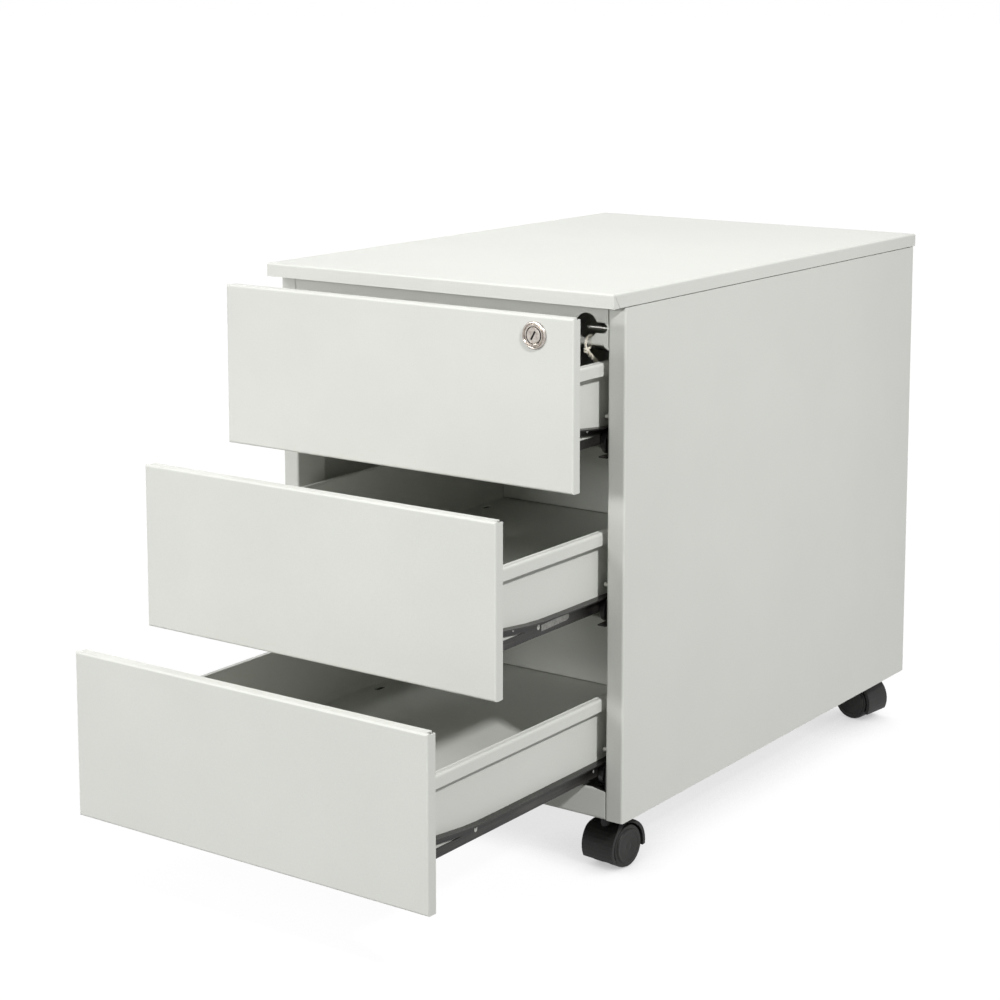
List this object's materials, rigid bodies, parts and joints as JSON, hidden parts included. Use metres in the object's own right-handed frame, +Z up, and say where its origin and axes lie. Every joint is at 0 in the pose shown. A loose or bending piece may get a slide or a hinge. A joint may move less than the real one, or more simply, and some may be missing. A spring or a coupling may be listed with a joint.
{
  "type": "mobile drawer pedestal",
  "caption": "Sheet steel drawer pedestal on swivel casters: folded-sheet drawers on roller runners, part open, with a central lock.",
  "frame": {"origin": "on the floor, under the centre of the bounding box of the cabinet with its drawers as stored", "axes": "+X to the right seen from the front, -Y to the front (the way the drawers open), +Z up"},
  "size_m": [0.39, 0.852, 0.53],
  "materials": {
    "light_grey_paint": "fine-textured light grey powder coat, semi-matt",
    "black_steel": "black coated steel, satin",
    "nylon": "black nylon rollers",
    "black_plastic": "black moulded plastic, satin",
    "nickel": "bright nickel plate",
    "zinc_steel": "zinc-plated steel",
    "twine": "undyed cotton twine"
  },
  "bodies": {
    "carcass": {"top_cover": "light_grey_paint", "side_panel_right": "light_grey_paint", "side_panel_left": "light_grey_paint", "back_panel": "light_grey_paint", "base_panel": "light_grey_paint", "front_rail_top": "light_grey_paint", "front_rail_bottom": "light_grey_paint", "cabinet_runner_bottom_right": "black_steel", "cabinet_runner_bottom_left": "black_steel", "cabinet_runner_middle_right": "black_steel", "cabinet_runner_middle_left": "black_steel", "cabinet_runner_top_right": "black_steel", "cabinet_runner_top_left": "black_steel", "caster_plate_front_right": "black_steel", "caster_plate_front_left": "black_steel", "caster_plate_rear_right": "black_steel", "caster_plate_rear_left": "black_steel", "key_cord": "twine", "spare_key": "nickel"},
    "drawer_bottom": {"drawer_front_bottom": "light_grey_paint", "drawer_tray_bottom": "light_grey_paint", "drawer_back_bottom": "light_grey_paint", "drawer_runner_bottom_right": "black_steel", "drawer_runner_bottom_left": "black_steel"},
    "drawer_middle": {"drawer_front_middle": "light_grey_paint", "drawer_tray_middle": "light_grey_paint", "drawer_back_middle": "light_grey_paint", "drawer_runner_middle_right": "black_steel", "drawer_runner_middle_left": "black_steel"},
    "drawer_top": {"drawer_front_top": "light_grey_paint", "drawer_tray_top": "light_grey_paint", "drawer_back_top": "light_grey_paint", "drawer_runner_top_right": "black_steel", "drawer_runner_top_left": "black_steel", "lock_housing": "nickel"},
    "front_roller_bottom_right": {"front_roller_bottom_right": "nylon"},
    "rear_roller_bottom_right": {"rear_roller_bottom_right": "nylon"},
    "front_roller_bottom_left": {"front_roller_bottom_left": "nylon"},
    "rear_roller_bottom_left": {"rear_roller_bottom_left": "nylon"},
    "front_roller_middle_right": {"front_roller_middle_right": "nylon"},
    "rear_roller_middle_right": {"rear_roller_middle_right": "nylon"},
    "front_roller_middle_left": {"front_roller_middle_left": "nylon"},
    "rear_roller_middle_left": {"rear_roller_middle_left": "nylon"},
    "front_roller_top_right": {"front_roller_top_right": "nylon"},
    "rear_roller_top_right": {"rear_roller_top_right": "nylon"},
    "front_roller_top_left": {"front_roller_top_left": "nylon"},
    "rear_roller_top_left": {"rear_roller_top_left": "nylon"},
    "lock_plug": {"lock_plug": "nickel", "lock_cam": "nickel"},
    "lock_bar": {"lock_bar": "zinc_steel"},
    "caster_front_right": {"caster_hood_front_right": "black_plastic"},
    "caster_front_right_wheels": {"caster_wheels_front_right": "black_plastic"},
    "caster_front_left": {"caster_hood_front_left": "black_plastic"},
    "caster_front_left_wheels": {"caster_wheels_front_left": "black_plastic"},
    "caster_rear_right": {"caster_hood_rear_right": "black_plastic"},
    "caster_rear_right_wheels": {"caster_wheels_rear_right": "black_plastic"},
    "caster_rear_left": {"caster_hood_rear_left": "black_plastic"},
    "caster_rear_left_wheels": {"caster_wheels_rear_left": "black_plastic"}
  },
  "joints": [
    {"name": "bottom_drawer_slide", "type": "slide", "parent": "carcass", "child": "drawer_bottom", "axis": [0, -1, 0], "range_m": [-0.2705, 0.1195]},
    {"name": "middle_drawer_slide", "type": "slide", "parent": "carcass", "child": "drawer_middle", "axis": [0, -1, 0], "range_m": [-0.1795, 0.2105]},
    {"name": "top_drawer_slide", "type": "slide", "parent": "carcass", "child": "drawer_top", "axis": [0, -1, 0], "range_m": [-0.068, 0.322]},
    {"name": "front_roller_bottom_right_spin", "type": "hinge", "parent": "carcass", "child": "front_roller_bottom_right", "pos_m": [0.1678, -0.128, 0.092], "axis": [1, 0, 0], "continuous": true},
    {"name": "rear_roller_bottom_right_spin", "type": "hinge", "parent": "drawer_bottom", "child": "rear_roller_bottom_right", "pos_m": [0.1678, 0.079, 0.0931], "axis": [1, 0, 0], "continuous": true},
    {"name": "front_roller_bottom_left_spin", "type": "hinge", "parent": "carcass", "child": "front_roller_bottom_left", "pos_m": [-0.1678, -0.128, 0.092], "axis": [1, 0, 0], "continuous": true},
    {"name": "rear_roller_bottom_left_spin", "type": "hinge", "parent": "drawer_bottom", "child": "rear_roller_bottom_left", "pos_m": [-0.1678, 0.079, 0.0931], "axis": [1, 0, 0], "continuous": true},
    {"name": "front_roller_middle_right_spin", "type": "hinge", "parent": "carcass", "child": "front_roller_middle_right", "pos_m": [0.1678, -0.128, 0.243], "axis": [1, 0, 0], "continuous": true},
    {"name": "rear_roller_middle_right_spin", "type": "hinge", "parent": "drawer_middle", "child": "rear_roller_middle_right", "pos_m": [0.1678, 0.17, 0.2441], "axis": [1, 0, 0], "continuous": true},
    {"name": "front_roller_middle_left_spin", "type": "hinge", "parent": "carcass", "child": "front_roller_middle_left", "pos_m": [-0.1678, -0.128, 0.243], "axis": [1, 0, 0], "continuous": true},
    {"name": "rear_roller_middle_left_spin", "type": "hinge", "parent": "drawer_middle", "child": "rear_roller_middle_left", "pos_m": [-0.1678, 0.17, 0.2441], "axis": [1, 0, 0], "continuous": true},
    {"name": "front_roller_top_right_spin", "type": "hinge", "parent": "carcass", "child": "front_roller_top_right", "pos_m": [0.1678, -0.128, 0.394], "axis": [1, 0, 0], "continuous": true},
    {"name": "rear_roller_top_right_spin", "type": "hinge", "parent": "drawer_top", "child": "rear_roller_top_right", "pos_m": [0.1678, 0.2815, 0.3951], "axis": [1, 0, 0], "continuous": true},
    {"name": "front_roller_top_left_spin", "type": "hinge", "parent": "carcass", "child": "front_roller_top_left", "pos_m": [-0.1678, -0.128, 0.394], "axis": [1, 0, 0], "continuous": true},
    {"name": "rear_roller_top_left_spin", "type": "hinge", "parent": "drawer_top", "child": "rear_roller_top_left", "pos_m": [-0.1678, 0.2815, 0.3951], "axis": [1, 0, 0], "continuous": true},
    {"name": "lock_plug_turn", "type": "hinge", "parent": "drawer_top", "child": "lock_plug", "pos_m": [0.154, -0.2235, 0.4988], "axis": [0, -1, 0], "range_deg": [-90, 0]},
    {"name": "lock_bar_drop", "type": "slide", "parent": "carcass", "child": "lock_bar", "axis": [0, 0, 1], "range_m": [-0.0064, 0]},
    {"name": "caster_front_right_swivel", "type": "hinge", "parent": "carcass", "child": "caster_front_right", "pos_m": [0.162, -0.1185, 0.045], "axis": [0, 0, 1], "continuous": true},
    {"name": "caster_front_right_roll", "type": "hinge", "parent": "caster_front_right", "child": "caster_front_right_wheels", "pos_m": [0.163, -0.10855, 0.02], "axis": [0.995, -0.0998, 0], "continuous": true},
    {"name": "caster_front_left_swivel", "type": "hinge", "parent": "carcass", "child": "caster_front_left", "pos_m": [-0.162, -0.1185, 0.045], "axis": [0, 0, 1], "continuous": true},
    {"name": "caster_front_left_roll", "type": "hinge", "parent": "caster_front_left", "child": "caster_front_left_wheels", "pos_m": [-0.15857, -0.10911, 0.02], "axis": [0.9394, -0.3429, 0], "continuous": true},
    {"name": "caster_rear_right_swivel", "type": "hinge", "parent": "carcass", "child": "caster_rear_right", "pos_m": [0.162, 0.404, 0.045], "axis": [0, 0, 1], "continuous": true},
    {"name": "caster_rear_right_roll", "type": "hinge", "parent": "caster_rear_right", "child": "caster_rear_right_wheels", "pos_m": [0.15206, 0.40511, 0.02], "axis": [0.1106, 0.9939, 0], "continuous": true},
    {"name": "caster_rear_left_swivel", "type": "hinge", "parent": "carcass", "child": "caster_rear_left", "pos_m": [-0.162, 0.404, 0.045], "axis": [0, 0, 1], "continuous": true},
    {"name": "caster_rear_left_roll", "type": "hinge", "parent": "caster_rear_left", "child": "caster_rear_left_wheels", "pos_m": [-0.15202, 0.40471, 0.02], "axis": [0.0707, -0.9975, 0], "continuous": true}
  ],
  "couplings": [
    {"joint": "front_roller_bottom_right_spin", "follows": "bottom_drawer_slide", "rad_per_m": 90.909},
    {"joint": "rear_roller_bottom_right_spin", "follows": "bottom_drawer_slide", "rad_per_m": 82.645},
    {"joint": "front_roller_bottom_left_spin", "follows": "bottom_drawer_slide", "rad_per_m": 90.909},
    {"joint": "rear_roller_bottom_left_spin", "follows": "bottom_drawer_slide", "rad_per_m": 82.645},
    {"joint": "front_roller_middle_right_spin", "follows": "middle_drawer_slide", "rad_per_m": 90.909},
    {"joint": "rear_roller_middle_right_spin", "follows": "middle_drawer_slide", "rad_per_m": 82.645},
    {"joint": "front_roller_middle_left_spin", "follows": "middle_drawer_slide", "rad_per_m": 90.909},
    {"joint": "rear_roller_middle_left_spin", "follows": "middle_drawer_slide", "rad_per_m": 82.645},
    {"joint": "front_roller_top_right_spin", "follows": "top_drawer_slide", "rad_per_m": 90.909},
    {"joint": "rear_roller_top_right_spin", "follows": "top_drawer_slide", "rad_per_m": 82.645},
    {"joint": "front_roller_top_left_spin", "follows": "top_drawer_slide", "rad_per_m": 90.909},
    {"joint": "rear_roller_top_left_spin", "follows": "top_drawer_slide", "rad_per_m": 82.645}
  ]
}
